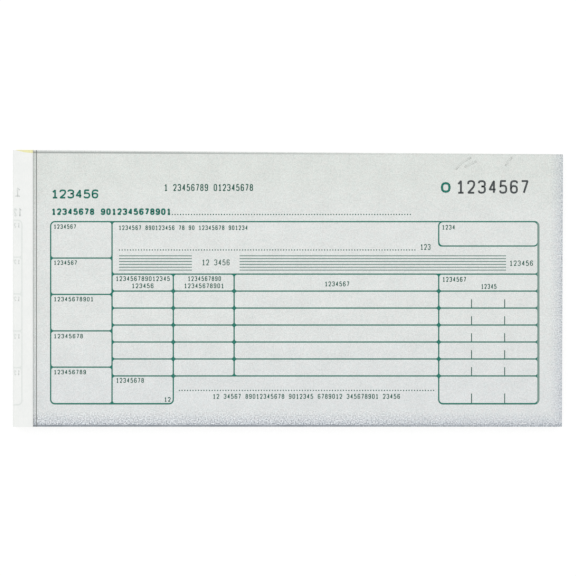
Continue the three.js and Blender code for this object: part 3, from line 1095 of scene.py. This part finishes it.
class RECEIPTBOOK_OT_show_through(ReceiptBookOperator, bpy.types.Operator):
    """Adds the form's print that shows faintly through the back of the first sheet"""
    bl_idname = "receiptbook.show_through"
    bl_label = "Show-through"

    def execute(self, context):
        faint = ink("ink_seen_through_paper", colours().ghost, "#EAEDEA", 0.8)
        # On the strip the form's left boxes show, and the start of the titles and labels, all mirrored.
        strip = {"body": "first_sheet_strip", "surface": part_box("first_sheet_strip")[1].z}
        shift = Vector((at(GHOST_LEFT_LINE, 0).x + at(LEFT, 0).x, GHOST_RISE * MM, 0))
        bm = self.form_from("show_through_strip", (-1, GHOST_STRETCH, 1), shift, at(STRIP_LEFT, 0).x)
        print_piece("show_through_strip", bm, faint, **strip)
        labels = [(*GHOST_LABEL_ENDS, *[y * GHOST_STRETCH + GHOST_RISE for y in label[2:4]], (2,))
                  for label in LEFT_LABELS]
        for pen, runs in ((new_pen("show_through_titles", 0.5), GHOST_TITLES),
                          (new_pen("show_through_labels", 0.36), labels)):
            for run in runs:
                write_digits(pen, *run, mirrored=True)
            pen_print(pen, faint, **strip)
        # Under the book the rest of the frame shows on the first sheet's underside.
        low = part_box("first_sheet_panel")[0]
        shift = Vector((-PANEL_PRINT_SHIFT, 0, 0))
        bm = self.form_from("show_through_panel", (1, 1, 1), shift, low.x + PANEL_PRINT_START)
        bmesh.ops.translate(bm, vec=(0, 0, low.z - sizes().ink + half_ink()), verts=bm.verts[:])
        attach(finish_piece("show_through_panel", bm, faint), "first_sheet_panel")
        return {"FINISHED"}

    def form_from(self, name, scale, shift, start):
        """The form's frame, scaled, moved and cut off on the left of a place."""
        bm = flat_shape(name, form_loops())
        bmesh.ops.scale(bm, vec=scale, verts=bm.verts[:])
        bmesh.ops.translate(bm, vec=shift, verts=bm.verts[:])
        cut = split(bm, start, -1, clear_outer=True)
        edges = [part for part in cut if isinstance(part, bmesh.types.BMEdge)]
        bmesh.ops.holes_fill(bm, edges=edges, sides=0)
        bmesh.ops.recalc_face_normals(bm, faces=bm.faces[:])
        return bm


# The camera stands straight above, at the photograph's scale.
IMAGE_WIDTH = 576 * 0.37564 * MM  # the photograph's pixels, at the size that one has on the page
CAMERA_RISE = 0.95
CAMERA_SHIFT = 0.13 * MM
SENSOR = 36
FLOOR_HALF = 1.5
FLOOR_DROP = 0.1 * MM
LIT_PAPER, SEEN_PAPER = ((grey, grey, grey, 1) for grey in (0.85, 0.22))
WHITE = (1, 1, 1, 1)
PLAIN_LIGHT = 0.83  # what the world gives the book, where 1 shows as white
FLOOR_GLOW = 0.83  # what the floor adds to its lit paper for the camera, up to white
LAMP_SIZE, LAMP_WATTS, LAMP_PLACE = 0.9, 4.0, Vector((-0.25, 0.42, 1.2))


class RECEIPTBOOK_OT_stage(ReceiptBookOperator, bpy.types.Operator):
    """Sets up the pale floor, the soft light and the camera straight above"""
    bl_idname = "receiptbook.stage"
    bl_label = "Stage"

    def execute(self, context):
        scene = context.scene
        bm = bmesh.new()
        bmesh.ops.create_grid(bm, x_segments=1, y_segments=1, size=FLOOR_HALF)
        bmesh.ops.translate(bm, vec=(0, 0, -FLOOR_DROP), verts=bm.verts[:])
        finish_piece("floor", bm, self.floor_paint())
        scene.world = scene.world or bpy.data.worlds.new("studio")
        r = Recipe(scene.world)
        strength = r.ramped([r.seen_plainly(), 0, 1, PLAIN_LIGHT, 1.0])
        r.add("OutputWorld", [r.add("Background", {"Color": WHITE, "Strength": strength})[0]])
        lamp = bpy.data.lights.new("soft_box", "AREA")
        lamp.size = LAMP_SIZE
        lamp.energy = LAMP_WATTS
        box = bpy.data.objects.new("soft_box", lamp)
        box.location = LAMP_PLACE
        box.rotation_euler = (-LAMP_PLACE).to_track_quat("-Z", "Y").to_euler()
        scene.collection.objects.link(box)
        view = bpy.data.cameras.new("camera")
        view.sensor_width = SENSOR
        view.lens = SENSOR * CAMERA_RISE / IMAGE_WIDTH
        camera = bpy.data.objects.new("camera", view)
        camera.location = (0, CAMERA_SHIFT, PAGE_TOP + CAMERA_RISE)
        scene.collection.objects.link(camera)
        scene.camera = camera
        scene.view_settings.view_transform = "Standard"
        return {"FINISHED"}

    def floor_paint(self):
        """Matt white paper sweep: it shows white to the camera and keeps the book's soft shadow."""
        r = new_recipe("matt_white_paper_sweep")
        seen = r.seen_plainly()
        matt = r.add("BsdfDiffuse", {"Color": r.painted(LIT_PAPER, (seen, SEEN_PAPER))})[0]
        glow = r.add("Emission", {"Color": WHITE, "Strength": r.ramped([seen, 0, 1, 0, FLOOR_GLOW])})[0]
        r.add("OutputMaterial", [r.add("AddShader", [matt, glow])[0]])
        return r.owner


STEPS = [RECEIPTBOOK_OT_cover, RECEIPTBOOK_OT_first_sheet, RECEIPTBOOK_OT_page, RECEIPTBOOK_OT_lower_leaves,
         RECEIPTBOOK_OT_board, RECEIPTBOOK_OT_binding, RECEIPTBOOK_OT_form, RECEIPTBOOK_OT_numbers,
         RECEIPTBOOK_OT_lower_print, RECEIPTBOOK_OT_show_through, RECEIPTBOOK_OT_stage]


class RECEIPTBOOK_PT_panel(bpy.types.Panel):
    bl_label = "Receipt book"
    bl_idname = "RECEIPTBOOK_PT_panel"
    bl_space_type = "VIEW_3D"
    bl_region_type = "UI"
    bl_category = "Receipt book"

    def draw(self, context):
        for step in STEPS:
            self.layout.operator(step.bl_idname)


CLASSES = [ReceiptBookSizes, ReceiptBookColours, *STEPS, RECEIPTBOOK_PT_panel]


def register():
    for cls in CLASSES:
        bpy.utils.register_class(cls)
    bpy.types.Scene.receipt_book_sizes = bpy.props.PointerProperty(type=ReceiptBookSizes)
    bpy.types.Scene.receipt_book_colours = bpy.props.PointerProperty(type=ReceiptBookColours)


def unregister():
    del bpy.types.Scene.receipt_book_colours
    del bpy.types.Scene.receipt_book_sizes
    for cls in reversed(CLASSES):
        bpy.utils.unregister_class(cls)


def main():
    register()
    for step in STEPS:
        group, name = step.bl_idname.split(".")
        getattr(getattr(bpy.ops, group), name)()


if __name__ == "__main__":
    main()
